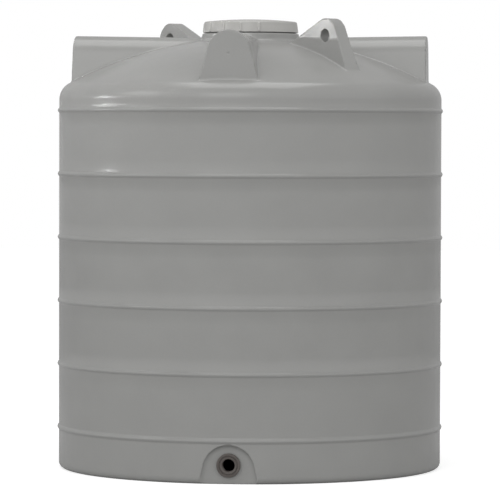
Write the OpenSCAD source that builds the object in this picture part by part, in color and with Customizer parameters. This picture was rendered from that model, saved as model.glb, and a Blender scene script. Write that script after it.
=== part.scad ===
// Vertical water tank moulded in one hollow piece, with a screwed manhole lid
// and a flanged threaded outlet low on the front. Millimetres, +Z up, origin on
// the ground under the middle of the tank, front towards -Y.

/* [Body] */
// Radius of the straight wall, outside
wall_r = 890; // [700:5:1000]
// Height at which the straight wall turns into the shoulder
shoulder_z = 1718; // [1300:2:2200]
// Radius of the rounded shoulder
knuckle_r = 90; // [70:1:120]
// Radius of the domed roof
crown_r = 1800; // [1500:10:2400]
// Radius of the rounded bottom edge
foot_r = 28; // [20:1:40]
// Thickness of the moulded wall
wall_t = 7; // [5:0.5:9]

/* [Ribs] */
// Number of ribs round the wall
rib_count = 6; // [3:1:8]
// Height of the middle of the lowest rib
rib_first = 192; // [190:1:230]
// Straight wall between the middle of the top rib and the shoulder
rib_top_gap = 56; // [30:1:90]
// How far a rib stands out of the wall
rib_proud = 7; // [4:0.5:9]
// Height of a rib where it leaves the wall
rib_w = 20; // [18:1:26]

/* [Buttresses] */
// How far the flat end of a buttress lies in from the wall
wing_setback = 62; // [50:1:75]
// Drop from the collar's top to the top of a buttress at its flat end
wing_drop = 11; // [8:0.5:30]
// Radius of the rounded ridge
wing_arch_r = 95; // [75:1:110]
// Slope of the two flanks, from upright
wing_flare = 14.5; // [8:0.5:20]
// Rise of the ridge from the neck outwards, in degrees
wing_rise = 0.8; // [0:0.1:1.5]
// Radius at the outer end of the ridge
wing_corner_r = 9; // [5:1:20]

/* [Lifting lugs] */
// Direction of the front lug, in degrees from the front towards the right
lug_turn = 45; // [40:1:50]
// Distance of the eye from the tank's middle line
eye_at = 575; // [540:1:610]
// Height of the eye above the roof
eye_h = 89; // [75:1:105]
// Radius of the eye
eye_r = 28.5; // [20:0.5:32]
// Radius of the lug's rounded top, about the eye
lug_top_r = 76; // [65:1:85]
// Thickness of the lug at the eye
lug_t = 64; // [50:1:80]
// Slope of the lug's back ridge, and of its outer edge from upright
lug_slope = 25; // [18:0.5:30]
// Drop from the eye's middle to the line below which the sides spread
lug_break = 30; // [30:1:40]
// Slope of the lug's sides below that line, from upright
lug_flare = 3; // [1:0.5:6]

/* [Neck] */
// Radius of the manhole
bore_r = 193.5; // [160:0.5:205]
// Thickness of the neck
neck_t = 10; // [8:0.5:12]
// Height of the neck above its collar
neck_h = 45; // [35:1:60]
// How far the collar stands out of the neck
collar_proud = 21.5; // [18:0.5:26]
// Height of the collar above the roof
collar_h = 28; // [22:1:36]
// Width of the slope where the collar meets the roof
collar_slope = 10; // [6:1:14]

/* [Lid] */
// Gap between the lid's skirt and the collar
lid_gap = 4; // [2:0.5:8]
// Thickness of the lid
lid_t = 5; // [3.5:0.5:6]
// Clearance between the neck and the inside of the skirt at its top
lid_clear = 8; // [6:0.5:10]
// How much wider the skirt is at its bottom edge than at its top, in radius
lid_taper = 5.5; // [3:0.5:8]
// Radius of the lid's top edge
lid_edge_r = 9; // [7:0.5:12]
// Rise of the lid's domed top above its edge
lid_crown = 11; // [6:0.5:20]
// Radius of a grip rib
grip_r = 7; // [5:0.5:9]
// How far a grip rib stands out of the skirt
grip_proud = 4; // [2:0.5:4.5]
// Angle between the grip ribs of a group
grip_step = 22.5; // [16:0.5:24]
// Grip ribs in each of the two groups
grip_count = 5; // [3:1:6]
// Depth of the ring that centres the lid in the neck
spigot_h = 10; // [6:1:16]
// Thickness of that ring
spigot_t = 4; // [3:0.5:5]
// Clearance between that ring and the neck
spigot_clear = 3; // [2:0.5:5]
// Thickness of the seal under the lid
seal_t = 5; // [3:0.5:8]

/* [Outlet] */
// Height of the outlet's middle
outlet_z = 84; // [78:1:90]
// Depth of the flat recess behind the wall, at its middle
recess_depth = 24; // [20:0.5:30]
// Radius of the recess's arched top
recess_r = 118; // [100:1:120]
// Height of the middle of that arch
recess_z = 57; // [45:1:58]
// Slope of the recess's two sides, from upright
recess_flare = 14; // [6:0.5:18]
// Radius of the threaded bore
outlet_bore_r = 28.35; // [20:0.05:29]
// Radius of the threaded barrel
barrel_r = 37; // [34:0.5:40]
// Length of the barrel behind the flange
barrel_l = 43; // [38:1:60]
// Radius of the outside flange
flange_r = 53.5; // [50:0.5:58]
// Thickness of the outside flange
flange_t = 13; // [10:0.5:16]
// Depth of the ring sunk into the flange's face
flange_sink = 3; // [2:0.5:5]
// Width of the rim round that ring
flange_rim = 7; // [4:0.5:9]
// Thickness of the gasket
gasket_t = 3; // [2:0.5:4]
// Distance across the flats of the backnut
nut_flats = 100; // [92:1:104]
// Thickness of the backnut
nut_t = 18; // [12:1:22]
// Clearance round the barrel in the wall and in the gasket
barrel_clear = 0.5; // [0.3:0.1:1]
// Clearance between the barrel's thread and the backnut
thread_clear = 0.2; // [0.1:0.05:0.3]

/* [Hidden] */
$fn = 96;
grey_shell = "#8f8f8d";
grey_lid = "#a6a6a3";
black_plastic = "#3a3634";
black_rubber = "#1f1f1f";
reach = 3000;
// angle and height by which two faces cross where they would only touch
side_lap = 1.5;
ridge_lap = 0.5;

// Roof: the shoulder and the dome touch at tangent_r, tangent_z
knuckle_at = wall_r - knuckle_r;
crown_z = shoulder_z - sqrt(pow(crown_r - knuckle_r, 2) - pow(knuckle_at, 2));
tangent_r = crown_r * knuckle_at / (crown_r - knuckle_r);
tangent_z = roof_z(tangent_r);

rib_step = (shoulder_z - rib_top_gap - rib_first) / (rib_count - 1);

neck_r = bore_r + neck_t;
collar_r = neck_r + collar_proud;
collar_top = roof_z(collar_r) + collar_h;
rim_z = collar_top + neck_h;

wing_end = wall_r - wing_setback;
wing_foot_z = shoulder_z + sqrt(pow(knuckle_r, 2) - pow(max(wing_end - knuckle_at, 0), 2));
wing_top_z = collar_top - wing_drop;
wing_h = wing_top_z - wing_foot_z;

eye_z = roof_z(eye_at) + eye_h;

// inner end of a buttress, inside the neck
wing_root = bore_r - 20;

lid_base = collar_top + lid_gap;
lid_under = rim_z + seal_t;
lid_in_r = neck_r + lid_clear;
lid_out_r = lid_in_r + lid_t;
lid_top = lid_under + lid_t;
lid_edge_z = lid_top - lid_edge_r;
lid_flat_r = lid_out_r - lid_edge_r;
lid_dome_r = (pow(lid_flat_r, 2) + pow(lid_crown, 2)) / (2 * lid_crown);
lid_draft = atan(lid_taper / (lid_edge_z - lid_base));
grip_turn = -28.5;
grip_end_gap = 3;
spigot_r = bore_r - spigot_clear;

recess_at = wall_r - recess_depth;
// flat steps round the arched top of the recess
recess_steps = 40;
flange_at = recess_at + gasket_t;
nut_at = recess_at - wall_t;
flange_hub_r = (outlet_bore_r + barrel_r) / 2 + 3;
mouth_chamfer = 2;

function roof_z(r) = crown_z + sqrt(pow(crown_r, 2) - pow(r, 2));

// Half section of the body, skin inside the outer face
module body_section(skin) {
    wall = wall_r - skin;
    // flat bottom, rounded edge and straight wall
    translate([0, skin])
        square([wall_r - foot_r, foot_r]);
    translate([wall_r - foot_r, foot_r])
        circle(foot_r - skin);
    translate([0, foot_r])
        square([wall, shoulder_z - foot_r]);
    for (i = [0 : rib_count - 1])
        translate([0, rib_first + i * rib_step])
            rib_section(skin);
    // shoulder and domed roof
    translate([knuckle_at, shoulder_z])
        circle(knuckle_r - skin);
    polygon([
        [0, shoulder_z],
        [knuckle_at, shoulder_z],
        skin_point(skin),
        [0, skin_point(skin).y],
    ]);
    intersection() {
        translate([0, crown_z])
            circle(crown_r - skin);
        translate([0, skin_point(skin).y])
            square([skin_point(skin).x, crown_r]);
    }
}

// Segment of a circle, w high and standing proud of the line at r
module bulge(r, w, proud) {
    round_r = (pow(w / 2, 2) + pow(proud, 2)) / (2 * proud);
    translate([r + proud - round_r, 0])
        circle(round_r);
}

// Section of a rib outside, or of the shallower groove that it leaves inside
module rib_section(skin) {
    if (skin == 0)
        bulge(wall_r, rib_w, rib_proud);
    else
        bulge(wall_r - skin, rib_w - skin, rib_proud / 2);
}

// Where the shoulder meets the dome, skin inside the outer face
function skin_point(skin) = [
    tangent_r - skin * knuckle_at / (crown_r - knuckle_r),
    tangent_z - skin * (shoulder_z - crown_z) / (crown_r - knuckle_r)
];

// Half section of the collar and neck outside
module neck_section() {
    slope_r = collar_r + collar_slope;
    translate([0, shoulder_z])
        square([collar_r, collar_top - shoulder_z]);
    translate([0, shoulder_z])
        square([neck_r, rim_z - shoulder_z]);
    polygon([
        [bore_r, shoulder_z],
        [slope_r, shoulder_z],
        [slope_r, roof_z(slope_r)],
        [bore_r, roof_z(slope_r) + slope_r - bore_r],
    ]);
}

// Half section of the opening through the collar and neck
module mouth_section() {
    translate([0, shoulder_z])
        square([bore_r, rim_z - shoulder_z + 1]);
    translate([0, shoulder_z])
        square([collar_r - wall_t, collar_top - wall_t - shoulder_z]);
}

// One buttress, pointing to the front, skin inside the outer face
module wing(skin) {
    end = wing_end - skin;
    difference() {
        intersection() {
            translate([0, -wing_end, wing_top_z])
                rotate([90 - wing_rise, 0, 0])
                    translate([0, 0, -wing_end - wing_h])
                        linear_extrude(wing_end + 2 * wing_h)
                            wing_arch(wing_arch_r - skin);
            translate([-wing_end / 2, -end, shoulder_z])
                cube([wing_end, end - wing_root, 2 * wing_h + knuckle_r]);
        }
        wing_corner(skin, max(wing_corner_r - skin, 1));
    }
}

// Outline of a buttress's end, its ridge rounded to the radius r, with the
// middle of the ridge at full size at [0, 0]
module wing_arch(r) {
    low = shoulder_z - wing_top_z;
    side = [r * cos(wing_flare), r * sin(wing_flare) - wing_arch_r];
    low_x = side.x + (side.y - low) * tan(wing_flare);
    translate([0, -wing_arch_r])
        circle(r);
    polygon([[-side.x, side.y], [-low_x, low], [low_x, low], side]);
}

// What rounds the outer end of a buttress's ridge to the radius r
module wing_corner(skin, r) {
    translate([0, skin - wing_end + r, wing_top_z - skin - r + ridge_lap])
        difference() {
            translate([-wing_arch_r, -2 * r, 0])
                cube([2 * wing_arch_r, 2 * r, 3 * r]);
            rotate([0, 90, 0])
                cylinder(r = r, h = 3 * wing_arch_r, center = true);
        }
}

// One lifting lug without its eye, pointing to the front, skin inside the outer face
module lug(skin) {
    r = lug_top_r - skin;
    // the ridge and the outer edge start just past the points where they touch the circle
    ridge = [
        eye_at - r * sin(lug_slope - side_lap),
        eye_z + r * cos(lug_slope - side_lap),
    ];
    edge = [
        eye_at + r * cos(lug_slope + side_lap),
        eye_z + r * sin(lug_slope + side_lap),
    ];
    edge_low = eye_at + r / cos(lug_slope) + (eye_z - tangent_z) * tan(lug_slope);
    ridge_low = eye_z + r / cos(lug_slope) - (eye_at - collar_r) * tan(lug_slope);
    half = lug_t / 2 - skin;
    drop = eye_z - tangent_z + lug_top_r;
    spread = half + (drop - lug_break) * tan(lug_flare);
    intersection() {
        rotate([90, 0, -90])
            translate([0, 0, -lug_t])
                linear_extrude(2 * lug_t) {
                    translate([eye_at, eye_z])
                        circle(r);
                    polygon([
                        [collar_r, ridge_low],
                        [collar_r, tangent_z],
                        [edge_low, tangent_z],
                        edge,
                        ridge,
                    ]);
                }
        translate([0, -eye_at, eye_z])
            rotate([90 + lug_flare, 0, 0])
                translate([0, 0, -eye_at])
                    linear_extrude(2 * eye_at)
                        polygon([
                            [-half, 2 * lug_top_r],
                            [-half, -lug_break],
                            [-spread, -drop],
                            [spread, -drop],
                            [half, -lug_break],
                            [half, 2 * lug_top_r],
                        ]);
    }
}

// Cylinder of radius r along the axis of a lug's eye
module eye(r) {
    translate([0, -eye_at, eye_z])
        rotate([0, 90, 0])
            cylinder(r = r, h = 2 * lug_t, center = true);
}

// Space taken by the flat recess, skin outside its own faces
module recess(skin) {
    r = recess_r + skin;
    low_x = r / cos(recess_flare) + (recess_z + foot_r) * tan(recess_flare);
    translate([0, -recess_at + skin, 0])
        rotate([90, 0, 0])
            linear_extrude(recess_depth + rib_proud + foot_r)
                polygon(concat(
                    [[-low_x, -foot_r], [low_x, -foot_r]],
                    [for (i = [0 : recess_steps]) recess_point(r, i)]
                ));
}

// Point i of the recess's arched top
function recess_point(r, i) =
    let (a = recess_flare + i * (180 - 2 * recess_flare) / recess_steps)
    [r * cos(a), recess_z + r * sin(a)];

module wings(skin) {
    for (a = [0, 90, 180, 270])
        rotate([0, 0, a])
            wing(skin);
}

module lug_places() {
    for (a = [lug_turn, lug_turn + 180])
        rotate([0, 0, a])
            children();
}

module tank_shell() {
    color(grey_shell)
        difference() {
            union() {
                rotate_extrude() {
                    body_half(0);
                    neck_section();
                }
                wings(0);
                lug_places()
                    lug(0);
            }
            recess(0);
            // hollow inside, which follows the outside
            difference() {
                union() {
                    rotate_extrude() {
                        body_half(wall_t);
                        mouth_section();
                    }
                    wings(wall_t);
                    lug_places()
                        difference() {
                            lug(wall_t);
                            eye(eye_r + wall_t);
                        }
                }
                recess(wall_t);
            }
            lug_places()
                eye(eye_r);
            translate([0, -nut_at, outlet_z])
                rotate([90, 0, 0])
                    cylinder(r = barrel_r + barrel_clear, h = 3 * wall_t, center = true);
        }
}

// The right half of the body's section
module body_half(skin) {
    intersection() {
        body_section(skin);
        square([reach, reach]);
    }
}

// Half section of the lid's outer form, skin inside the outer face
module lid_section(skin) {
    edge = lid_edge_r - skin;
    base = lid_base - skin;
    taper = (lid_edge_z - base) * tan(lid_draft);
    translate([lid_flat_r, lid_edge_z])
        circle(edge);
    polygon([
        [0, base],
        [lid_flat_r + edge + taper, base],
        [lid_flat_r + edge, lid_edge_z],
        [0, lid_edge_z],
    ]);
    square_from([0, lid_edge_z], [lid_flat_r, lid_top - skin]);
}

module square_from(low, high) {
    translate(low)
        square(high - low);
}

// Half section of the lid's domed top
module lid_dome_section() {
    intersection() {
        translate([0, lid_top + lid_crown - lid_dome_r])
            circle(lid_dome_r, $fn = 720);
        square_from([0, lid_under], [lid_flat_r, lid_top + lid_crown]);
    }
}

module grip_rib() {
    sunk = grip_r - grip_proud;
    length = (lid_edge_z - lid_base) / cos(lid_draft) - 2 * grip_end_gap;
    translate([0, -lid_out_r, lid_edge_z])
        rotate([180 - lid_draft, 0, 0])
            translate([0, -sunk, grip_end_gap])
                cylinder(r = grip_r, h = length);
}

module lid() {
    color(grey_lid)
        difference() {
            union() {
                rotate_extrude()
                    intersection() {
                        lid_section(0);
                        square([reach, reach]);
                    }
                rotate_extrude()
                    lid_dome_section();
                for (side = [0, 180])
                    for (i = [0 : grip_count - 1])
                        rotate([0, 0, side + grip_turn + (i - (grip_count - 1) / 2) * grip_step])
                            grip_rib();
            }
            difference() {
                rotate_extrude()
                    intersection() {
                        lid_section(lid_t);
                        square([reach, reach]);
                    }
                // ring that centres the lid in the neck
                translate([0, 0, lid_under - spigot_h])
                    difference() {
                        cylinder(r = spigot_r, h = 2 * spigot_h);
                        cylinder(r = spigot_r - spigot_t, h = 2 * spigot_h);
                    }
            }
        }
}

module lid_seal() {
    color(black_rubber)
        translate([0, 0, rim_z])
            difference() {
                cylinder(r = neck_r + 1, h = seal_t);
                translate([0, 0, -1])
                    cylinder(r = spigot_r + 0.5, h = seal_t + 2);
            }
}

// Ring or disc of radius r about the outlet's axis, from a to b outwards of the tank's middle
module outlet_disc(r, a, b) {
    translate([0, -a, outlet_z])
        rotate([90, 0, 0])
            cylinder(r = r, h = b - a);
}

module outlet_body() {
    face = flange_at + flange_t;
    color(black_plastic)
        difference() {
            union() {
                outlet_disc(flange_r, flange_at, face);
                outlet_disc(barrel_r, flange_at - barrel_l, flange_at + 1);
            }
            difference() {
                outlet_disc(flange_r - flange_rim, face - flange_sink, face + 1);
                outlet_disc(flange_hub_r, face - flange_sink - 1, face + 2);
            }
            outlet_disc(outlet_bore_r, flange_at - barrel_l - 1, face + 1);
            // chamfered mouth
            translate([0, -face - 0.01, outlet_z])
                rotate([-90, 0, 0])
                    cylinder(
                        r1 = outlet_bore_r + mouth_chamfer,
                        r2 = outlet_bore_r,
                        h = mouth_chamfer
                    );
        }
}

module outlet_gasket() {
    color(black_rubber)
        difference() {
            outlet_disc(flange_r - 1, recess_at, flange_at);
            outlet_disc(barrel_r + barrel_clear, recess_at - 1, flange_at + 1);
        }
}

module outlet_backnut() {
    color(black_plastic)
        difference() {
            translate([0, -nut_at, outlet_z])
                rotate([-90, 0, 0])
                    cylinder(r = nut_flats / 2 / cos(30), h = nut_t, $fn = 6);
            outlet_disc(barrel_r + thread_clear, nut_at - nut_t - 1, nut_at + 1);
        }
}

tank_shell();
lid();
lid_seal();
outlet_body();
outlet_gasket();
outlet_backnut();
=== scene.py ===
"""Upright water tank, moulded in one hollow piece of grey polyethylene, with a
screwed manhole lid on its roof and a flanged threaded outlet low on its front."""

import math

import bmesh
import bpy
import numpy as np
from mathutils import Matrix, Vector


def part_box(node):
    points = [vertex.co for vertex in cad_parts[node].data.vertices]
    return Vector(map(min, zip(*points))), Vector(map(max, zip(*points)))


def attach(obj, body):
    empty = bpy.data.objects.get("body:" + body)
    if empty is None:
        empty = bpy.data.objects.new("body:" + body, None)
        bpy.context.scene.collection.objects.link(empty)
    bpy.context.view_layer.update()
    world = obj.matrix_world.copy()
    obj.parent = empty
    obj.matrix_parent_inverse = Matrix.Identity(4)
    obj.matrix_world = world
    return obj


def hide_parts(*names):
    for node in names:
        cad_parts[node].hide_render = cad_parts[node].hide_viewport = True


bl_info = {
    "name": "Water tank",
    "version": (1, 0, 0),
    "blender": (4, 5, 0),
    "location": "3D View > Sidebar > Tank",
    "description": "Builds a moulded water tank with its lid, outlet and studio",
    "category": "Object",
}

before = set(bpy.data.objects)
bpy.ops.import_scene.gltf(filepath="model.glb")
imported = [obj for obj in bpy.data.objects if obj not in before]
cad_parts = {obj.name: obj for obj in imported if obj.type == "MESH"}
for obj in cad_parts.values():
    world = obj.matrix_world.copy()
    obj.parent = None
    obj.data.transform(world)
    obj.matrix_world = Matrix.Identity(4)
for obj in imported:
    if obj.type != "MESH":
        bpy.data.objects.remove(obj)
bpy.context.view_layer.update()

MM = 0.001
FULL_TURN = 2 * math.pi

# radii and heights between which the shell's skin is netted, at its roof and at its
# foot, whose upper band lies closer round the first rib
ROOF_R, ROOF_Z = (0.205, 0.909), (1.690, 2.090)
FOOT_R, FOOT_Z = (0.790, 0.910), (-0.021, 0.179)
FOOT_BAND_Z = (0.1835, 0.2105)
# the neck lies inside this radius, the recess in front of this depth, and the barrel's
# hole inside this radius
NECK_SIDE_R, RECESS_Y, HOLE_R = 0.212, -0.84, 0.038
# vent mark in the front buttress's flat end: how far left, how far out, height, radius
VENT_X, VENT_OUT, VENT_Z, VENT_R = 12 * MM, 5.5 * MM, 1.912, 7.5 * MM
RIB_FILLET = 4 * MM
COLLAR_EDGE = 6 * MM
SMALL_EDGE = 2 * MM
NECK_THREAD_DEPTH = 2.6 * MM
LID_THREAD_DEPTH = 2.4 * MM
THREAD_ROW = 1.8 * MM
PIPE_ROW = 0.46 * MM
GRIP_FLANK = 2.4 * MM
# what the floor gives off to the camera, on top of the light that it takes
FLOOR_LIFT = 0.68


# ---------------------------------------------------------------- sizes and colours


def linear(hex_colour):
    """The linear colour of an sRGB hex value such as "a0a0a0"."""
    parts = [int(hex_colour[i : i + 2], 16) / 255 for i in (0, 2, 4)]
    return [c / 12.92 if c <= 0.04045 else ((c + 0.055) / 1.055) ** 2.4 for c in parts]


def length(name, description, default):
    """A size in metres that the user can set."""
    return bpy.props.FloatProperty(
        name=name, description=description, default=default, min=0.0, precision=4, unit="LENGTH"
    )


def degrees(name, description, default):
    """An angle that the user can set, its default in degrees."""
    return bpy.props.FloatProperty(
        name=name, description=description, default=math.radians(default), unit="ROTATION"
    )


def colour(name, description, hex_colour):
    """A colour that the user can set, its default as an sRGB hex value."""
    return bpy.props.FloatVectorProperty(
        name=name,
        description=description,
        default=linear(hex_colour),
        min=0.0,
        max=1.0,
        size=3,
        subtype="COLOR",
    )


class TankShellSizes(bpy.types.PropertyGroup):
    """Sizes of the moulded shell."""

    wall_r: length("Wall radius", "Outside radius of the straight wall", 0.890)
    shoulder_z: length("Shoulder height", "Where the wall turns into the shoulder", 1.711)
    knuckle_r: length("Shoulder radius", "Radius of the rounded shoulder", 0.086)
    crown_r: length("Roof radius", "Radius of the domed roof", 1.786)
    foot_r: length("Foot radius", "Radius of the rounded bottom edge", 0.028)
    skin: length("Wall thickness", "Thickness of the moulded wall", 0.007)
    rib_first: length("First rib", "Height of the lowest rib", 0.192)
    rib_step: length("Rib spacing", "Distance between two ribs", 0.294)
    rib_proud: length("Rib depth", "How far a rib stands out", 0.007)
    rib_w: length("Rib height", "Height of a rib where it leaves the wall", 0.020)
    rib_count: bpy.props.IntProperty(name="Ribs", description="Ribs round the wall", default=6)
    wing_end: length("Buttress end", "Flat end of a buttress from the axis", 0.824)
    wing_top: length("Buttress top", "Height of a buttress at its flat end", 2.0095)
    wing_arch_r: length("Buttress ridge", "Radius of a buttress's ridge", 0.095)
    wing_flare: degrees("Buttress flare", "Slope of a buttress's flanks", 14.5)
    wing_rise: degrees("Buttress rise", "Rise of a buttress's ridge", 0.8)
    front_rise: length("Front rise", "How much taller the front buttress is", 0.009)
    front_shift: length("Front shift", "How far left the front buttress stands", 0.010)
    eye_at: length("Eye distance", "Distance of a lug's eye from the axis", 0.575)
    eye_z: length("Eye height", "Height of a lug's eye", 2.0014)
    eye_r: length("Eye radius", "Radius of a lug's eye", 0.0285)
    lug_r: length("Lug top", "Radius of a lug's top about its eye", 0.078)
    lug_t: length("Lug thickness", "Thickness of a lug at its eye", 0.066)
    lug_slope: degrees("Lug slope", "Slope of a lug's ridge and outer edge", 25.0)
    lug_break: length("Lug break", "Drop from the eye to where the sides spread", 0.030)
    lug_flare: degrees("Lug flare", "Slope of a lug's sides at its foot", 3.0)
    bore_r: length("Manhole radius", "Radius of the manhole", 0.1935)
    neck_r: length("Neck radius", "Outside radius of the neck", 0.2035)
    collar_r: length("Collar radius", "Outside radius of the collar", 0.225)
    collar_top: length("Collar top", "Height of the collar's top", 2.0206)
    rim_z: length("Neck rim", "Height of the neck's rim", 2.0656)
    recess_at: length("Recess floor", "Flat floor of the recess from the axis", 0.866)
    recess_r: length("Recess arch", "Radius of the recess's arched top", 0.118)
    recess_z: length("Recess centre", "Height of the middle of that arch", 0.057)
    recess_flare: degrees("Recess flare", "Slope of the recess's sides", 14.0)
    fillet: length("Inner corners", "Radius of the corners that the mould rounds inwards", 0.006)
    collar_fillet: length("Collar fillet", "Radius of the hollow round the collar's foot", 0.014)
    edge: length("Outer corners", "Radius of the corners that the mould rounds outwards", 0.0035)
    ridge_edge: length("Ridge corner", "Radius at the outer end of a buttress's ridge", 0.009)
    recess_fillet: length("Recess corner", "Radius round the recess's floor", 0.022)


class TankLidSizes(bpy.types.PropertyGroup):
    """Sizes of the lid."""

    out_r: length("Lid radius", "Outside radius of the skirt at its top", 0.2165)
    in_r: length("Lid inside", "Inside radius of the skirt at its top", 0.2115)
    taper: length("Lid taper", "How much wider the skirt is at its bottom", 0.0055)
    edge_r: length("Lid edge", "Radius of the lid's top edge", 0.009)
    top: length("Lid top", "Height of the lid's edge", 2.0756)
    under: length("Lid underside", "Height of the lid's underside", 2.0706)
    crown: length("Lid crown", "Rise of the lid's domed top", 0.011)
    rib_proud: length("Grip depth", "How far a grip rib stands out", 0.004)
    rib_w: length("Grip width", "Width of a grip rib", 0.0135)
    spigot_r: length("Ring radius", "Outside radius of the ring that centres the lid", 0.1905)
    pitch: length("Thread pitch", "Rise of the lid for one turn", 0.012)


class TankOutletSizes(bpy.types.PropertyGroup):
    """Sizes of the outlet."""

    z: length("Outlet height", "Height of the outlet's middle", 0.084)
    face: length("Outlet face", "Distance of the flange's face from the axis", 0.882)
    back: length("Barrel end", "Distance of the barrel's inner end from the axis", 0.826)
    flange_r: length("Flange radius", "Outside radius of the flange", 0.0535)
    flange_t: length("Flange thickness", "Thickness of the flange", 0.013)
    barrel_r: length("Barrel radius", "Outside radius of the barrel", 0.037)
    bore_r: length("Bore radius", "Radius of the threaded bore", 0.02835)
    pitch: length("Pipe pitch", "Pitch of the pipe thread", 0.0023)


class TankLooks(bpy.types.PropertyGroup):
    """Colours of the materials."""

    shell: colour("Shell", "Grey of the moulded shell", "989896")
    lid: colour("Lid", "Grey of the lid", "adaca9")
    fitting: colour("Outlet", "Colour of the outlet and its nut", "57514d")
    rubber: colour("Rubber", "Colour of the seals", "242424")
    floor: colour("Floor", "Colour of the floor's paint", "d0d0d0")


SIZE_GROUPS = (
    ("tank_shell_sizes", TankShellSizes),
    ("tank_lid_sizes", TankLidSizes),
    ("tank_outlet_sizes", TankOutletSizes),
    ("tank_looks", TankLooks),
)


# ---------------------------------------------------------------- materials


def add_node(tree, kind, settings=None, **inputs):
    """Adds a node with its settings. An input is a value, or the socket that feeds it."""
    node = tree.nodes.new(kind)
    for key, value in (settings or {}).items():
        setattr(node, key, value)
    for key, value in inputs.items():
        name = key.replace("_", " ") if not key.startswith("n_") else int(key[2:])
        socket = node.inputs[name]
        if isinstance(value, bpy.types.NodeSocket):
            tree.links.new(value, socket)
        else:
            socket.default_value = value
    return node


def new_material(name):
    """An empty node material with its output, and the object coordinates in metres."""
    material = bpy.data.materials.new(name)
    material.use_nodes = True
    tree = material.node_tree
    tree.nodes.clear()
    output = add_node(tree, "ShaderNodeOutputMaterial")
    place = add_node(tree, "ShaderNodeTexCoord").outputs["Object"]
    return material, tree, output, place


def noise_of_size(tree, place, size, detail=2.0):
    """Noise whose blotches are about size metres wide, from 0 to 1."""
    node = add_node(
        tree,
        "ShaderNodeTexNoise",
        {"noise_dimensions": "3D"},
        Vector=place,
        Scale=1.0 / size,
        Detail=detail,
    )
    return node.outputs["Fac"]


def spread(tree, value, low, high):
    """A value that lies about the middle of 0 to 1, spread out from low to high."""
    node = add_node(
        tree,
        "ShaderNodeMapRange",
        {"interpolation_type": "SMOOTHSTEP"},
        Value=value,
        From_Min=0.2,
        From_Max=0.8,
        To_Min=low,
        To_Max=high,
    )
    return node.outputs["Result"]


def tinted(tree, base, amount, value):
    """The colour base, made darker and lighter by the share amount as value goes from 0 to 1."""
    dark = [c * (1 - amount) for c in base] + [1.0]
    light = [min(c * (1 + amount), 1.0) for c in base] + [1.0]
    node = add_node(tree, "ShaderNodeMix", {"data_type": "RGBA"})
    tree.links.new(value, node.inputs["Factor"])
    node.inputs[6].default_value = dark
    node.inputs[7].default_value = light
    return node.outputs[2]


def moulded_polyethylene(base):
    """Linear polyethylene, turned in a hot mould: a waxy, slightly glossy skin with
    orange peel 6 mm wide, soft hollows 15 cm wide, and faint clouds in its grey."""
    material, tree, output, place = new_material("Rotomoulded polyethylene")
    clouds = noise_of_size(tree, place, 0.220, 3.0)
    specks = noise_of_size(tree, place, 0.009, 2.0)
    peel = noise_of_size(tree, place, 0.006, 3.0)
    hollows = noise_of_size(tree, place, 0.150, 1.0)
    mottled = tinted(tree, base, 0.045, clouds)
    grey = add_node(tree, "ShaderNodeMix", {"data_type": "RGBA", "blend_type": "MULTIPLY"})
    tree.links.new(mottled, grey.inputs[6])
    tree.links.new(tinted(tree, (0.98, 0.98, 0.98), 0.02, specks), grey.inputs[7])
    grey.inputs["Factor"].default_value = 1.0
    soft = add_node(
        tree, "ShaderNodeBump", Strength=0.5, Distance=0.0035, Height=hollows
    ).outputs["Normal"]
    skin = add_node(
        tree, "ShaderNodeBump", Strength=0.22, Distance=0.0005, Height=peel, Normal=soft
    ).outputs["Normal"]
    shader = add_node(
        tree,
        "ShaderNodeBsdfPrincipled",
        Base_Color=grey.outputs[2],
        Roughness=spread(tree, clouds, 0.19, 0.25),
        IOR=1.51,
        Normal=skin,
    )
    tree.links.new(shader.outputs[0], output.inputs["Surface"])
    return material


def injected_polypropylene(base):
    """Polypropylene copolymer, injected in a polished mould: satin, smoother than the
    shell, with faint flow marks 30 mm wide and a fine grain."""
    material, tree, output, place = new_material("Injection-moulded polypropylene")
    flow = noise_of_size(tree, place, 0.030, 2.0)
    grain = noise_of_size(tree, place, 0.0035, 2.0)
    bump = add_node(tree, "ShaderNodeBump", Strength=0.15, Distance=0.0003, Height=grain)
    shader = add_node(
        tree,
        "ShaderNodeBsdfPrincipled",
        Base_Color=tinted(tree, base, 0.012, spread(tree, flow, 0.0, 1.0)),
        Roughness=spread(tree, flow, 0.22, 0.26),
        IOR=1.49,
        Normal=bump.outputs["Normal"],
    )
    tree.links.new(shader.outputs[0], output.inputs["Surface"])
    return material


def glass_filled_polypropylene(base):
    """Glass-filled polypropylene, injected: a dark satin fitting with a fine speckle
    of 1.5 mm and dust that makes patches of it duller."""
    material, tree, output, place = new_material("Glass-filled polypropylene")
    speckle = noise_of_size(tree, place, 0.0015, 2.0)
    dust = noise_of_size(tree, place, 0.018, 3.0)
    bump = add_node(tree, "ShaderNodeBump", Strength=0.25, Distance=0.0002, Height=speckle)
    shader = add_node(
        tree,
        "ShaderNodeBsdfPrincipled",
        Base_Color=tinted(tree, base, 0.14, spread(tree, dust, 0.0, 1.0)),
        Roughness=spread(tree, dust, 0.34, 0.52),
        IOR=1.49,
        Normal=bump.outputs["Normal"],
    )
    tree.links.new(shader.outputs[0], output.inputs["Surface"])
    return material


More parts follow.
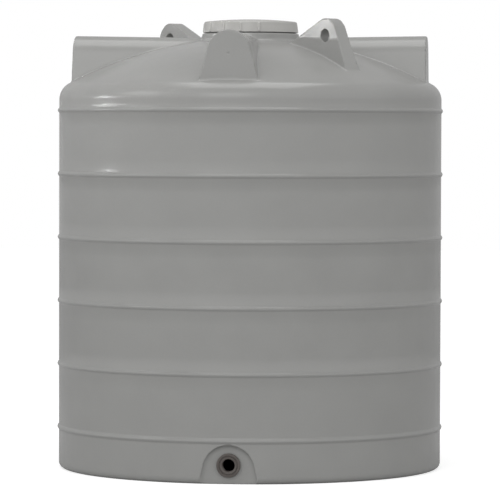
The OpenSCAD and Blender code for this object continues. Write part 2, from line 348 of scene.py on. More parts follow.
def moulded_rubber(base):
    """EPDM rubber, pressed: matt black with a bloom in soft patches 12 mm wide."""
    material, tree, output, place = new_material("EPDM rubber")
    bloom = noise_of_size(tree, place, 0.012, 3.0)
    grain = noise_of_size(tree, place, 0.001, 2.0)
    bump = add_node(tree, "ShaderNodeBump", Strength=0.3, Distance=0.0001, Height=grain)
    shader = add_node(
        tree,
        "ShaderNodeBsdfPrincipled",
        Base_Color=tinted(tree, base, 0.2, spread(tree, bloom, 0.0, 1.0)),
        Roughness=spread(tree, bloom, 0.65, 0.8),
        IOR=1.52,
        Normal=bump.outputs["Normal"],
    )
    tree.links.new(shader.outputs[0], output.inputs["Surface"])
    return material


def white_studio(base):
    """Matt studio paint, lifted to white where the camera looks at it, while the
    tank's shadow stays on it."""
    material, tree, output, _ = new_material("Matt studio paint")
    paint = add_node(tree, "ShaderNodeBsdfDiffuse", Color=list(base) + [1.0]).outputs[0]
    lift = add_node(tree, "ShaderNodeEmission", Color=(1.0, 1.0, 1.0, 1.0))
    camera = add_node(tree, "ShaderNodeLightPath").outputs["Is Camera Ray"]
    amount = add_node(tree, "ShaderNodeMath", {"operation": "MULTIPLY"}, n_0=camera, n_1=FLOOR_LIFT)
    tree.links.new(amount.outputs[0], lift.inputs["Strength"])
    both = add_node(tree, "ShaderNodeAddShader", n_0=paint, n_1=lift.outputs[0])
    tree.links.new(both.outputs[0], output.inputs["Surface"])
    return material


def one_material(name, make, base):
    """The material called name, made the first time that it is asked for."""
    return bpy.data.materials.get(name) or make(list(base))


# ---------------------------------------------------------------- mesh tools


def deselect():
    """Leaves object mode with nothing selected."""
    if bpy.context.mode != "OBJECT":
        bpy.ops.object.mode_set(mode="OBJECT")
    bpy.ops.object.select_all(action="DESELECT")


def make_active(piece):
    deselect()
    piece.select_set(True)
    bpy.context.view_layer.objects.active = piece


def new_piece(name, points, faces=(), edges=()):
    """An object whose mesh has these points, faces and edges."""
    mesh = bpy.data.meshes.new(name)
    mesh.from_pydata([tuple(map(float, p)) for p in points], list(edges), list(faces))
    piece = bpy.data.objects.new(name, mesh)
    bpy.context.collection.objects.link(piece)
    make_active(piece)
    return piece


def spun(name, outline, steps, centre=(0, 0, 0), axis=(0, 0, 1)):
    """A closed ring made by spinning an outline of (x, y, z) points about an axis."""
    count = len(outline)
    edges = [(i, (i + 1) % count) for i in range(count)]
    piece = new_piece(name, outline, edges=edges)
    bpy.ops.object.mode_set(mode="EDIT")
    bpy.ops.mesh.select_all(action="SELECT")
    bpy.ops.mesh.spin(steps=steps, angle=FULL_TURN, center=centre, axis=axis)
    bpy.ops.mesh.select_all(action="SELECT")
    bpy.ops.mesh.remove_doubles(threshold=0.00001)
    bpy.ops.mesh.normals_make_consistent(inside=False)
    bpy.ops.object.mode_set(mode="OBJECT")
    return piece


def finish_piece(piece, body, material, node, smooth):
    """Smooths a piece up to this angle, paints it and seats it in place of a CAD node."""
    make_active(piece)
    bpy.ops.object.shade_smooth_by_angle(angle=math.radians(smooth))
    piece.data.materials.clear()
    piece.data.materials.append(material)
    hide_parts(node)
    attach(piece, body)


def arc(centre, radius, start, end, steps):
    """Points along an arc, its angles in degrees from the first axis."""
    turns = np.radians(np.linspace(start, end, steps + 1))
    return [(centre[0] + radius * math.cos(t), centre[1] + radius * math.sin(t)) for t in turns]


def thread(turn, z, pitch, depth, low, high):
    """Height of a screw thread with rounded crests at this turn and height. It fades
    out over half a pitch at both ends."""
    phase = (z / pitch - turn / FULL_TURN) % 1.0
    crest = np.clip(1.6 * (0.5 + 0.5 * np.cos(FULL_TURN * (phase - 0.5))) - 0.55, 0.0, 1.0)
    fade = np.clip((z - low) / (pitch / 2), 0, 1) * np.clip((high - z) / (pitch / 2), 0, 1)
    return depth * crest * fade


# ---------------------------------------------------------------- the shell's form


def rounded_union(a, b, radius):
    """Distance to two solids together, with a fillet where they meet."""
    blend = np.hypot(np.maximum(radius - a, 0), np.maximum(radius - b, 0))
    return np.maximum(radius, np.minimum(a, b)) - blend


def rounded_common(a, b, radius):
    """Distance to what two solids share, with its edge rounded."""
    blend = np.hypot(np.maximum(radius + a, 0), np.maximum(radius + b, 0))
    return np.minimum(-radius, np.maximum(a, b)) + blend


def arch_distance(side, up, radius, flare):
    """Distance to an arch with a round top about (0, 0) and spreading sides."""
    side = np.abs(side)
    flank = side * math.cos(flare) + up * math.sin(flare) - radius
    return np.where(up < side * math.tan(flare), flank, np.hypot(side, up) - radius)


class ShellForm:
    """The shell's outer skin, as the distance of points from it."""

    def __init__(self, sizes):
        self.s = sizes
        s = sizes
        self.knuckle_at = s.wall_r - s.knuckle_r
        drop = math.sqrt((s.crown_r - s.knuckle_r) ** 2 - self.knuckle_at**2)
        self.crown_z = s.shoulder_z - drop
        self.lug_low = self.roof(s.crown_r * self.knuckle_at / (s.crown_r - s.knuckle_r))

    def roof(self, r):
        """Height of the domed roof at radius r."""
        return self.crown_z + math.sqrt(self.s.crown_r**2 - r * r)

    def body(self, r, z):
        """The turned body: flat bottom, ribbed wall, shoulder and dome."""
        s = self.s
        crown = np.hypot(r, z - self.crown_z) - s.crown_r
        knuckle = np.hypot(r - self.knuckle_at, z - s.shoulder_z) - s.knuckle_r
        on_crown = r * (s.shoulder_z - self.crown_z) < self.knuckle_at * (z - self.crown_z)
        upper = np.where(z > s.shoulder_z, np.where(on_crown, crown, knuckle), r - s.wall_r)
        across, below = r - (s.wall_r - s.foot_r), s.foot_r - z
        lower = np.minimum(np.maximum(across, below), 0) - s.foot_r
        lower = lower + np.hypot(np.maximum(across, 0), np.maximum(below, 0))
        body = np.maximum(upper, lower)
        round_r = ((s.rib_w / 2) ** 2 + s.rib_proud**2) / (2 * s.rib_proud)
        nearest = np.clip(np.round((z - s.rib_first) / s.rib_step), 0, s.rib_count - 1)
        rib_z = s.rib_first + nearest * s.rib_step
        rib = np.hypot(r - (s.wall_r + s.rib_proud - round_r), z - rib_z) - round_r
        return rounded_union(body, rib, RIB_FILLET)

    def wings(self, x, y, z):
        """The four buttresses, each pointing along an axis. The front one is a little
        taller, stands off centre and has crisper edges, as it came out of the mould."""
        s = self.s
        front = y < -np.abs(x)
        out = np.maximum(np.abs(x), np.abs(y))
        side = np.where(front, np.abs(x + s.front_shift), np.minimum(np.abs(x), np.abs(y)))
        ridge = s.wing_top + (out - s.wing_end) * math.tan(s.wing_rise) + front * s.front_rise
        arch = arch_distance(side, z - ridge + s.wing_arch_r, s.wing_arch_r, s.wing_flare)
        # the corner grows from 50 mm to 10 mm below the top
        upper = np.clip((z - s.wing_top + 50 * MM) / (40 * MM), 0, 1) * ~front
        edge = s.edge + (s.ridge_edge - s.edge) * upper
        wing = rounded_common(arch, out - s.wing_end, edge)
        # they end well inside the body
        return np.maximum(wing, self.lug_low - 60 * MM - z)

    def lugs(self, x, y, z):
        """The two lifting lugs on one diagonal, with their eyes."""
        s = self.s
        out = np.abs(x - y) * math.sqrt(0.5) - s.eye_at
        side = np.abs(x + y) * math.sqrt(0.5)
        up = z - s.eye_z
        lean, rise = math.sin(s.lug_slope), math.cos(s.lug_slope)
        ridge = up * rise - out * lean - s.lug_r
        outer = out * rise + up * lean - s.lug_r
        turn = np.arctan2(up, out)
        round_top = (turn > s.lug_slope) & (turn < s.lug_slope + math.pi / 2)
        outline = np.where(round_top, np.hypot(out, up) - s.lug_r, np.maximum(ridge, outer))
        drop = -s.lug_break - up - out * math.tan(s.lug_flare)
        half = s.lug_t / 2 + np.maximum(drop, 0) * math.tan(s.lug_flare)
        lug = rounded_common(outline, side - half, s.edge)
        lug = rounded_common(lug, s.eye_r - np.hypot(out, up), SMALL_EDGE)
        return np.maximum(lug, self.lug_low - z)

    def recess(self, x, y, z):
        """The flat recess round the outlet, as a solid to take away."""
        s = self.s
        outline = arch_distance(x, z - s.recess_z, s.recess_r, s.recess_flare)
        return rounded_common(outline, y + s.recess_at, s.recess_fillet)

    def __call__(self, points):
        s = self.s
        x, y, z = points[..., 0], points[..., 1], points[..., 2]
        r = np.hypot(x, y)
        skin = self.body(r, z)
        skin = rounded_union(skin, self.wings(x, y, z), s.fillet)
        collar = rounded_common(r - s.collar_r, z - s.collar_top, COLLAR_EDGE)
        skin = rounded_union(skin, collar, s.collar_fillet)
        skin = rounded_union(skin, self.lugs(x, y, z), s.fillet)
        skin = np.where(z < 0.3, rounded_common(skin, -self.recess(x, y, z), s.edge), skin)
        vent = np.sqrt((x + VENT_X) ** 2 + (y + s.wing_end + VENT_OUT) ** 2 + (z - VENT_Z) ** 2)
        return rounded_common(skin, VENT_R - vent, SMALL_EDGE)


def rises(points, distance, step):
    """How much the distance rises over two steps along x, y and z at each point."""
    return np.stack(
        [distance(points + shift) - distance(points - shift) for shift in np.eye(3) * step],
        axis=-1,
    )


def settle(points, distance, rounds=5, most=6 * MM):
    """Moves points along the form's own slope until they lie on its skin."""
    step = 0.1 * MM
    for _ in range(rounds):
        slope = rises(points, distance, step) / (2 * step)
        size = np.maximum((slope**2).sum(axis=-1), 0.2)
        move = np.clip(distance(points) / size, -most, most)
        points = points - slope * move[..., None]
    return points


def form_normals(points, distance):
    """Normals of the form's skin at these points."""
    slope = rises(points, distance, 0.05 * MM)
    size = np.linalg.norm(slope, axis=-1, keepdims=True)
    return slope / np.maximum(size, 1e-9)


def skin_net(distance, radii, turns, heights):
    """Points and four-sided faces over the form's skin, one point in each cell of a
    grid that goes all the way round. Returns them with the grid's cell numbers."""
    grid = np.stack(np.meshgrid(radii, turns, heights, indexing="ij"), axis=-1)
    corners = np.stack(
        [
            grid[..., 0] * np.cos(grid[..., 1]),
            grid[..., 0] * np.sin(grid[..., 1]),
            grid[..., 2],
        ],
        axis=-1,
    )
    field = distance(corners)
    field = np.concatenate([field, field[:, :1]], axis=1)
    cells = tuple(n - 1 for n in field.shape)
    shift = np.zeros(cells + (3,))
    count = np.zeros(cells)
    crossings = []
    for along in range(3):
        low = np.take(field, range(cells[along]), axis=along)
        high = np.take(field, range(1, cells[along] + 1), axis=along)
        crossing = (low < 0) != (high < 0)
        share = np.where(crossing, low / np.where(crossing, low - high, 1), 0)
        crossings.append(crossing)
        a, b = [axis for axis in range(3) if axis != along]
        for da in (0, 1):
            for db in (0, 1):
                index = [slice(None)] * 3
                index[a] = slice(da, da + cells[a])
                index[b] = slice(db, db + cells[b])
                index = tuple(index)
                count += crossing[index]
                shift[..., along] += share[index]
                shift[..., a] += da * crossing[index]
                shift[..., b] += db * crossing[index]
    used = count > 0
    number = np.full(cells, -1)
    number[used] = np.arange(used.sum())
    place = np.stack(np.nonzero(used), axis=-1) + shift[used] / count[used][:, None]
    r = np.interp(place[:, 0], range(len(radii)), radii)
    turn = turns[0] + place[:, 1] * (turns[1] - turns[0])
    z = np.interp(place[:, 2], range(len(heights)), heights)
    points = np.stack([r * np.cos(turn), r * np.sin(turn), z], axis=-1)
    faces = []
    around = cells[1]
    for along in range(3):
        i, j, k = np.nonzero(crossings[along][:, :around])
        a, b = [axis for axis in range(3) if axis != along]
        here = [i, j, k]
        keep = np.ones(len(i), bool)
        for axis in (a, b):
            if axis != 1:
                keep &= (here[axis] >= 1) & (here[axis] < cells[axis])
        here = [h[keep] for h in here]
        quad = []
        for da, db in ((1, 1), (0, 1), (0, 0), (1, 0)):
            cell = list(here)
            cell[a] = cell[a] - da
            cell[b] = cell[b] - db
            cell[1] = cell[1] % around
            quad.append(number[tuple(cell)])
        faces.append(np.stack(quad, axis=-1))
    return points, np.concatenate(faces), number


def ring_of(number, at_radius=None, at_height=None):
    """The points of a net's open edge, one for each step round it."""
    band = number[at_radius] if at_radius is not None else number[:, :, at_height].T
    return band.max(axis=1)


def grid_lines(span, count):
    """Grid lines that cut a span of (low, high) into count cells."""
    return np.linspace(*span, count + 1)


# ---------------------------------------------------------------- operators


class TANK_OT_shell(bpy.types.Operator):
    """Builds the shell in one piece, outside and inside, with the screwed neck"""

    bl_idname = "tank.shell"
    bl_label = "Moulded shell"

    around = 256

    def execute(self, context):
        s = context.scene.tank_shell_sizes
        outlet = context.scene.tank_outlet_sizes
        form = ShellForm(s)
        turns = (np.arange(self.around) + 0.5) * FULL_TURN / self.around
        self.mid = turns + (turns[1] - turns[0]) / 2
        self.points, self.faces, self.total = [], [], 0
        roof = self.net(form, grid_lines(ROOF_R, 74), turns, grid_lines(ROOF_Z, 44))
        heights = np.append(grid_lines(FOOT_Z, 25), grid_lines(FOOT_BAND_Z, 6))
        foot = self.net(form, grid_lines(FOOT_R, 15), turns, heights)
        collar_ring = ring_of(roof, at_radius=0)
        wall_top = ring_of(roof, at_height=0)
        wall_low = ring_of(foot, at_height=-1)
        bottom = ring_of(foot, at_radius=0)
        self.strip(wall_low, self.wall_rows(form), wall_top)
        self.strip(bottom, [(0.55, 0.0), (0.25, 0.0), (0.06, 0.0)], None)
        self.strip(collar_ring, self.inner_rows(form), None)
        piece = new_piece("tank_skin", np.concatenate(self.points), self.faces)
        self.refine(piece, form)
        self.drill(piece, s.recess_at, outlet)
        make_active(piece)
        bpy.ops.object.mode_set(mode="EDIT")
        bpy.ops.mesh.select_all(action="SELECT")
        bpy.ops.mesh.normals_make_consistent(inside=False)
        bpy.ops.object.mode_set(mode="OBJECT")
        looks = context.scene.tank_looks
        material = one_material("Rotomoulded polyethylene", moulded_polyethylene, looks.shell)
        finish_piece(piece, "tank", material, "tank_shell", smooth=50.0)
        self.shade(piece, form, outlet)
        return {"FINISHED"}

    def shade(self, piece, form, outlet):
        """Gives the outside the normals of the rounded form itself."""
        points = np.array([v.co[:] for v in piece.data.vertices])
        normals = form_normals(points, form)
        x, y, z = points.T
        apart = abs(form(points)) > 0.05 * MM
        neck = (np.hypot(x, y) < NECK_SIDE_R) & (z > 1.7)
        hole = (y < RECESS_Y) & (np.hypot(x, z - outlet.z) < HOLE_R)
        normals[apart | neck | hole] = 0
        piece.data.normals_split_custom_set_from_vertices(normals.tolist())

    def add(self, points):
        """Adds points and returns the number of the first."""
        first = self.total
        self.points.append(np.asarray(points))
        self.total += len(points)
        return first

    def net(self, form, radii, turns, heights):
        """Adds a net over part of the skin and returns its cell numbers."""
        points, faces, number = skin_net(form, radii, turns, heights)
        first = self.add(settle(points, form))
        self.faces += (faces + first).tolist()
        return np.where(number >= 0, number + first, -1)

    def strip(self, start, rows, end):
        """Joins rings of faces from the ring start through rows of (radius, height), or
        of a function of the turn, to the ring end, or closes the last row flat."""
        before = np.asarray(start)
        rings = []
        for row in rows:
            r, z = row(self.mid) if callable(row) else row
            r = np.broadcast_to(r, self.mid.shape)
            z = np.broadcast_to(z, self.mid.shape)
            ring = np.stack([r * np.cos(self.mid), r * np.sin(self.mid), z], axis=-1)
            rings.append(self.add(ring) + np.arange(self.around))
        if end is not None:
            rings.append(np.asarray(end))
        for ring in rings:
            quads = np.stack([before, np.roll(before, -1), np.roll(ring, -1), ring], axis=-1)
            self.faces += quads.tolist()
            before = ring
        if end is None:
            self.faces.append(before.tolist())

    def wall_rows(self, form):
        """Rows up the ribbed wall, close together on the ribs."""
        s = form.s
        heights = []
        for i in range(s.rib_count):
            rib = s.rib_first + i * s.rib_step
            heights += [rib + d * MM for d in (-13.5, -10, -5, 0, 5, 10, 13.5)]
            if i < s.rib_count - 1:
                heights += [rib + share * s.rib_step for share in (0.25, 0.5, 0.75)]
        heights = [z for z in heights if FOOT_BAND_Z[1] + 1.5 * MM < z < ROOF_Z[0]]
        # on the side, clear of the recess
        start = np.array([[s.wall_r + 2 * MM, 0.0, z] for z in heights])
        return [(r, z) for r, _, z in settle(start, form)]

    def inner_rows(self, form):
        """Rows from the collar's top up the neck, over its rim and round the inside."""
        s = form.s
        low, high = s.collar_top + 4 * MM, s.rim_z - 5 * MM

        def neck_row(z):
            depth = NECK_THREAD_DEPTH
            return lambda turn: (s.neck_r + thread(turn, z, 12 * MM, depth, low, high), z)

        rows = [(s.neck_r + 1.2 * MM, s.collar_top), (s.neck_r, s.collar_top + 1.2 * MM)]
        rows += [neck_row(z) for z in np.arange(low, high, THREAD_ROW)]
        rows += arc((s.neck_r - 2 * MM, s.rim_z - 2 * MM), 2 * MM, 0, 90, 3)
        rows += arc((s.bore_r + 2 * MM, s.rim_z - 2 * MM), 2 * MM, 90, 180, 3)
        crown = s.crown_r - s.skin
        inner_z = form.crown_z + math.sqrt(crown**2 - s.bore_r**2)
        rows += [(s.bore_r, 2.03), (s.bore_r, inner_z + 6 * MM), (s.bore_r + 2 * MM, inner_z)]
        for r in (0.26, 0.40, 0.55, 0.68, 0.78):
            rows.append((r, form.crown_z + math.sqrt(crown**2 - r * r)))
        knuckle = s.knuckle_r - s.skin
        rows += arc((form.knuckle_at, s.shoulder_z), knuckle, 55, 0, 4)
        inside = s.wall_r - s.skin
        for z in (1.4, 1.0, 0.6, 0.24, 0.20, 0.18, 0.15, 0.12, 0.09, 0.06, 0.035):
            rows.append(self.inner_wall(form, inside, z))
        for share in (60, 20):
            r, z = arc((s.wall_r - s.foot_r, s.foot_r), s.foot_r - s.skin, -share, -share, 0)[0]
            rows.append(self.inner_wall(form, r, z))
        rows += [(0.82, s.skin), (0.5, s.skin), (0.06, s.skin)]
        return rows

    def inner_wall(self, form, r, z):
        """A row of the inside wall, which steps in behind the recess."""

        def row(turn):
            x, y = r * np.cos(turn), r * np.sin(turn)
            depth = form.s.recess_at - form.s.skin
            outline = arch_distance(
                x, z - form.s.recess_z, form.s.recess_r + form.s.skin, form.s.recess_flare
            )
            behind = (outline < 14 * MM) & (y < -depth)
            return np.where(behind, depth / np.maximum(-np.sin(turn), 0.5), r), z

        return row

    def refine(self, piece, form):
        """Splits the faces where the skin turns sharply, and settles the new points."""
        mesh = bmesh.new()
        mesh.from_mesh(piece.data)
        for sharp, shortest in ((15, 8 * MM), (20, 7 * MM)):
            limit = math.radians(sharp)
            bent = [e for e in mesh.edges if e.calc_face_angle(0) > limit]
            middles = np.array([((e.verts[0].co + e.verts[1].co) / 2)[:] for e in bent])
            x, y, z = middles.T
            on_roof = (z > 1.74) & (np.hypot(x, y) > NECK_SIDE_R + 4 * MM)
            at_recess = (y < RECESS_Y) & (abs(x) < 0.18) & (z < 0.200)
            outside = (on_roof | at_recess) & (abs(form(middles)) < 6 * MM)
            edges = set()
            for edge, wanted in zip(bent, outside, strict=True):
                if wanted:
                    for face in edge.link_faces:
                        edges.update(e for e in face.edges if e.calc_length() > shortest)
            old = len(mesh.verts)
            bmesh.ops.subdivide_edges(mesh, edges=list(edges), cuts=1, use_grid_fill=True)
            mesh.verts.ensure_lookup_table()
            new = mesh.verts[old:]
            spots = settle(np.array([v.co[:] for v in new]), form)
            for vert, spot in zip(new, spots, strict=True):
                vert.co = spot
        mesh.to_mesh(piece.data)
        mesh.free()

    def drill(self, piece, recess_at, outlet):
        """Cuts the round hole for the outlet's barrel through the recess's floor."""
        deselect()
        bpy.ops.mesh.primitive_cylinder_add(
            vertices=96,
            radius=outlet.barrel_r + 0.5 * MM,
            depth=60 * MM,
            location=(0, -recess_at, outlet.z),
            rotation=(math.pi / 2, 0, 0),
        )
        drill = bpy.context.active_object
        make_active(piece)
        cut = piece.modifiers.new("hole", "BOOLEAN")
        cut.operation = "DIFFERENCE"
        cut.solver = "EXACT"
        cut.object = drill
        bpy.ops.object.modifier_apply(modifier=cut.name)
        bpy.data.objects.remove(drill)


class TANK_OT_lid(bpy.types.Operator):
    """Builds the screwed lid with its domed top, ribbed skirt and inner thread"""

    bl_idname = "tank.lid"
    bl_label = "Manhole lid"

    steps = 720
    first_rib = math.radians(-28.5)
    rib_step = math.radians(22.5)
    ribs_each_side = 5

    def execute(self, context):
        s = context.scene.tank_lid_sizes
        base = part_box("lid")[0][2]
        piece = spun("lid_cap", [(r, 0, z) for r, z in self.outline(s, base)], self.steps)
        self.press_ribs(piece, s, base)
        looks = context.scene.tank_looks
        material = one_material(
            "Injection-moulded polypropylene", injected_polypropylene, looks.lid
        )
        finish_piece(piece, "lid", material, "lid", smooth=40.0)
        return {"FINISHED"}

    def outline(self, s, base):
        """Half section of the lid, from the middle of its top round to the middle below."""
        edge_z = s.top - s.edge_r
        flat_r = s.out_r - s.edge_r
        dome_r = (flat_r**2 + s.crown**2) / (2 * s.crown)
        points = []
        for share in (0.0, 0.12, 0.3, 0.5, 0.7, 0.85, 0.94):
            r = flat_r * share
            points.append((r, s.top + s.crown - dome_r + math.sqrt(dome_r**2 - r * r)))
        points += arc((flat_r, edge_z), s.edge_r, 86, 4, 8)
        tall = edge_z - base
        slope = s.taper / tall
        heights = np.linspace(1.5 * MM, tall - 3.5 * MM, 22)
        points += [(s.out_r + slope * d, edge_z - d) for d in heights]
        points += arc((s.out_r + s.taper - 1.6 * MM, base + 1.6 * MM), 1.6 * MM, 0, -90, 4)
        inner = s.in_r + s.taper
        points += arc((inner + 1.2 * MM, base + 1.2 * MM), 1.2 * MM, -90, -180, 3)
        deep = s.under - base
        for d in np.linspace(3 * MM, deep - 3 * MM, 27):
            points.append((inner - s.taper * d / deep, base + d))
        points += [(s.in_r, s.under - 1 * MM), (s.in_r - 1 * MM, s.under)]
        points += [(s.spigot_r + 1 * MM, s.under), (s.spigot_r, s.under - 1 * MM)]
        points += arc((s.spigot_r - 1 * MM, s.under - 9 * MM), 1 * MM, 0, -90, 2)
        points += arc((s.spigot_r - 3 * MM, s.under - 9 * MM), 1 * MM, -90, -180, 2)
        points += [(s.spigot_r - 4 * MM, s.under - 1 * MM), (s.spigot_r - 5 * MM, s.under)]
        points += [(0.1, s.under), (0.0, s.under)]
        return points

    def press_ribs(self, piece, s, base):
        """Presses the grip ribs out of the skirt, and cuts the thread inside it."""
        turns = [
            side + self.first_rib - math.pi / 2 + (i - 2) * self.rib_step
            for side in (0, math.pi)
            for i in range(self.ribs_each_side)
        ]
        edge_z = s.top - s.edge_r
        for vert in piece.data.vertices:
            x, y, z = vert.co
            r = math.hypot(x, y)
            turn = math.atan2(y, x)
            slope_r = s.out_r + s.taper * (edge_z - z) / (edge_z - base)
            if r > s.in_r + s.taper + 2 * MM or (z > base + 4 * MM and r > slope_r - 1 * MM):
                grow = self.rib(turn, z, turns, s, base)
            elif r > s.spigot_r + 5 * MM and z < s.under - 2 * MM:
                low, high = base + 6 * MM, s.under - 4 * MM
                grow = -thread(turn + math.pi, z, s.pitch, LID_THREAD_DEPTH, low, high)
                # the thread's crests stay on one radius up the tapered skirt
                grow += max(r - s.in_r - 1 * MM, 0) * grow / LID_THREAD_DEPTH
            else:
                continue
            vert.co.x += x / r * grow
            vert.co.y += y / r * grow
        piece.data.update()

    def rib(self, turn, z, turns, s, base):
        """How far a grip rib stands out at this turn and height."""
        nearest = min(abs((turn - t + math.pi) % FULL_TURN - math.pi) for t in turns)
        across = nearest * (s.out_r + 3 * MM)
        if across >= s.rib_w / 2:
            return 0.0
        tall = s.rib_proud * min((s.rib_w / 2 - across) / GRIP_FLANK, 1)
        low, high = base + 1.5 * MM, s.top - s.edge_r + 1 * MM
        ends = min(max((z - low) / (4 * MM), 0), 1) * min(max((high - z) / (5 * MM), 0), 1)
        return tall * math.sqrt(max(ends * (2 - ends), 0))


class TANK_OT_outlet(bpy.types.Operator):
    """Builds the flanged outlet with its stepped face and threaded bore"""

    bl_idname = "tank.outlet"
    bl_label = "Threaded outlet"

    steps = 192

    def execute(self, context):
        s = context.scene.tank_outlet_sizes
        outline = [(r, -y, s.z) for r, y in self.outline(s)]
        piece = spun("outlet_flange", outline, self.steps, (0, 0, s.z), (0, 1, 0))
        self.cut_thread(piece, s)
        looks = context.scene.tank_looks
        material = one_material(
            "Glass-filled polypropylene", glass_filled_polypropylene, looks.fitting
        )
        finish_piece(piece, "tank", material, "outlet_body", smooth=32.0)
        return {"FINISHED"}

    def outline(self, s):
        """Half section as (radius, distance out from the tank's axis)."""
        face, back = s.face, s.back
        under = face - s.flange_t
        points = arc((s.flange_r - 3.5 * MM, face - 3.5 * MM), 3.5 * MM, 0, 90, 6)
        points += [(44.6 * MM, face), (43.8 * MM, face - 0.6 * MM), (43.2 * MM, face - 5.0 * MM)]
        points += [(39.6 * MM, face - 5.0 * MM), (38.9 * MM, face - 4.4 * MM)]
        points += [(38.5 * MM, face - 1.8 * MM), (37.8 * MM, face - 1.2 * MM)]
        points += [(31.6 * MM, face - 1.2 * MM), (30.6 * MM, face - 1.6 * MM)]
        mouth = s.bore_r + 1.1 * MM
        points += [(mouth, face - 2.4 * MM)]
        depths = np.arange(3.0 * MM, face - back - 1.5 * MM, PIPE_ROW)
        points += [(mouth, face - d) for d in depths]
        points += [(mouth + 0.6 * MM, back + 0.3 * MM), (mouth + 1.4 * MM, back)]
        points += arc((s.barrel_r - 1.5 * MM, back + 1.5 * MM), 1.5 * MM, -90, 0, 3)
        outside = np.arange(back + 3 * MM, under - 4 * MM, PIPE_ROW)
        points += [(s.barrel_r, d) for d in outside]
        points += [(s.barrel_r, under - 1 * MM), (s.barrel_r + 0.8 * MM, under)]
        points += arc((s.flange_r - 1.2 * MM, under + 1.2 * MM), 1.2 * MM, -90, 0, 3)
        return points

    def cut_thread(self, piece, s):
        """Cuts the pipe thread in the bore, and the nut's thread on the barrel."""
        for vert in piece.data.vertices:
            x, y, z = vert.co.x, vert.co.y, vert.co.z - s.z
            r = math.hypot(x, z)
            turn = math.atan2(z, x)
            if r < s.bore_r + 1.2 * MM:
                low, high = s.back + 2 * MM, s.face - 2.6 * MM
                grow = -thread(-turn, -y, s.pitch, 1.0 * MM, low, high)
            elif abs(r - s.barrel_r) < 0.1 * MM and -y < s.face - s.flange_t - 8 * MM:
                low, high = s.back + 3 * MM, s.face - s.flange_t - 8 * MM
                grow = -thread(-turn, -y, s.pitch, 0.9 * MM, low, high)
            else:
                continue
            vert.co.x += x / r * grow
            vert.co.z += z / r * grow
        piece.data.update()


class TANK_OT_inner_parts(bpy.types.Operator):
    """Gives the seal, the gasket and the backnut their materials"""

    bl_idname = "tank.inner_parts"
    bl_label = "Seals and backnut"

    def execute(self, context):
        looks = context.scene.tank_looks
        rubber = one_material("EPDM rubber", moulded_rubber, looks.rubber)
        plastic = one_material(
            "Glass-filled polypropylene", glass_filled_polypropylene, looks.fitting
        )
        paints = (("lid_seal", rubber), ("outlet_gasket", rubber), ("outlet_backnut", plastic))
        for node, material in paints:
            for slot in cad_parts[node].material_slots:
                slot.material = material
        return {"FINISHED"}


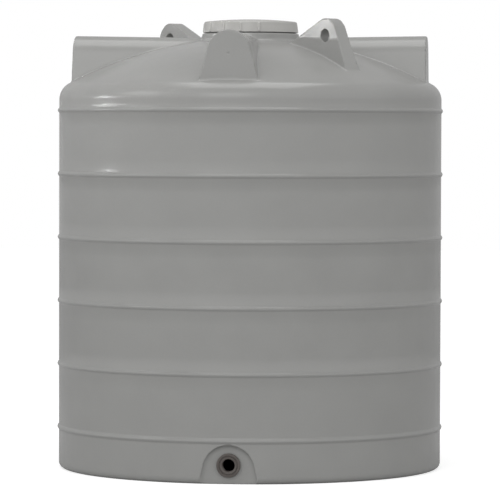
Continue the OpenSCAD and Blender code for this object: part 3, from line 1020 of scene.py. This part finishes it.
class TANK_OT_studio(bpy.types.Operator):
    """Builds the white studio: the floor, the lamps, the sky and the camera"""

    bl_idname = "tank.studio"
    bl_label = "Studio and camera"

    def execute(self, context):
        self.floor(context)
        self.sky(context)
        self.lamps()
        self.camera(context)
        context.scene.view_settings.view_transform = "Standard"
        return {"FINISHED"}

    def floor(self, context):
        deselect()
        bpy.ops.mesh.primitive_plane_add(size=60, location=(0, 0, 0))
        floor = context.active_object
        floor.name = "studio_floor"
        looks = context.scene.tank_looks
        floor.data.materials.append(
            one_material("Matt studio paint", white_studio, looks.floor)
        )

    def sky(self, context):
        """A soft sky, brightest low down in front and dim overhead, and white to the camera."""
        world = bpy.data.worlds.new("Studio sky")
        context.scene.world = world
        world.use_nodes = True
        tree = world.node_tree
        tree.nodes.clear()
        way = add_node(tree, "ShaderNodeTexCoord").outputs["Generated"]
        parts = add_node(tree, "ShaderNodeSeparateXYZ", Vector=way).outputs
        horizon = add_node(
            tree,
            "ShaderNodeMapRange",
            Value=parts["Y"],
            From_Min=-0.4,
            From_Max=0.8,
            To_Min=1.19,
            To_Max=0.5,
        )
        height = add_node(
            tree,
            "ShaderNodeMath",
            {"operation": "POWER", "use_clamp": True},
            n_0=parts["Z"],
            n_1=2.5,
        ).outputs[0]
        level = add_node(tree, "ShaderNodeMix", {"data_type": "FLOAT"}, n_0=height, n_3=0.11)
        tree.links.new(horizon.outputs["Result"], level.inputs[2])
        rays = add_node(tree, "ShaderNodeLightPath").outputs
        seen = add_node(
            tree,
            "ShaderNodeMath",
            {"operation": "MAXIMUM"},
            n_0=rays["Is Camera Ray"],
            n_1=rays["Is Transmission Ray"],
        ).outputs[0]
        strength = add_node(tree, "ShaderNodeMix", {"data_type": "FLOAT"}, n_0=seen, n_3=1.0)
        tree.links.new(level.outputs[0], strength.inputs[2])
        light = add_node(
            tree,
            "ShaderNodeBackground",
            Color=(1.0, 1.0, 1.0, 1.0),
            Strength=strength.outputs[0],
        )
        out = add_node(tree, "ShaderNodeOutputWorld")
        tree.links.new(light.outputs[0], out.inputs["Surface"])

    def lamps(self):
        """A narrow strip at the roof's height and a softbox on the left, one in front and
        one overhead."""
        # name, place, what it is aimed at, width, height, watts, spread in degrees
        lamps = (
            ("strip_left", (-5.0, -0.5, 2.33), (0.3, -0.4, 1.96), 1.6, 0.15, 0.75, 24),
            ("softbox_left", (-4.5, -2.5, 4.0), (0, 0, 1.9), 2.0, 2.0, 10.5, 120),
            ("softbox_front", (-1.0, -8.0, 5.0), (0, 0, 1.1), 4.0, 3.0, 51.0, 180),
            ("softbox_top", (0.0, -0.5, 6.5), (0, 0, 0), 4.0, 4.0, 120.0, 180),
        )
        for name, place, target, width, height, power, spread_angle in lamps:
            data = bpy.data.lights.new(name, "AREA")
            data.shape = "RECTANGLE"
            data.size, data.size_y = width, height
            data.energy = power
            data.spread = math.radians(spread_angle)
            lamp = bpy.data.objects.new(name, data)
            bpy.context.collection.objects.link(lamp)
            lamp.location = place
            aim = Vector(target) - Vector(place)
            lamp.rotation_euler = aim.to_track_quat("-Z", "Y").to_euler()

    def camera(self, context):
        data = bpy.data.cameras.new("camera")
        data.sensor_fit = "HORIZONTAL"
        data.sensor_width = 36.0
        data.lens = 260.9
        data.clip_end = 200.0
        camera = bpy.data.objects.new("camera", data)
        context.collection.objects.link(camera)
        camera.location = (1.797, -16.814, 1.580)
        pitch, roll, swing = math.radians(90 - 1.923), math.radians(0.17), math.radians(6.1)
        camera.matrix_world = (
            Matrix.Translation(camera.location)
            @ Matrix.Rotation(swing, 4, "Z")
            @ Matrix.Rotation(pitch, 4, "X")
            @ Matrix.Rotation(roll, 4, "Z")
        )
        context.scene.camera = camera


class TANK_PT_panel(bpy.types.Panel):
    """Lists the tank's pieces with their sizes and colours"""

    bl_idname = "TANK_PT_panel"
    bl_label = "Water tank"
    bl_space_type = "VIEW_3D"
    bl_region_type = "UI"
    bl_category = "Tank"

    def draw(self, context):
        layout = self.layout
        for operator in OPERATORS:
            layout.operator(operator.bl_idname)
        for name, group in SIZE_GROUPS:
            box = layout.box()
            values = getattr(context.scene, name)
            for key in group.__annotations__:
                box.prop(values, key)


OPERATORS = (
    TANK_OT_shell,
    TANK_OT_lid,
    TANK_OT_outlet,
    TANK_OT_inner_parts,
    TANK_OT_studio,
)
CLASSES = tuple(group for _, group in SIZE_GROUPS) + OPERATORS + (TANK_PT_panel,)


def register():
    for item in CLASSES:
        bpy.utils.register_class(item)
    for name, group in SIZE_GROUPS:
        setattr(bpy.types.Scene, name, bpy.props.PointerProperty(type=group))


def unregister():
    for name, _ in SIZE_GROUPS:
        delattr(bpy.types.Scene, name)
    for item in reversed(CLASSES):
        bpy.utils.unregister_class(item)


def main():
    register()
    bpy.ops.tank.shell()
    bpy.ops.tank.lid()
    bpy.ops.tank.outlet()
    bpy.ops.tank.inner_parts()
    bpy.ops.tank.studio()
    deselect()


if __name__ == "__main__":
    main()
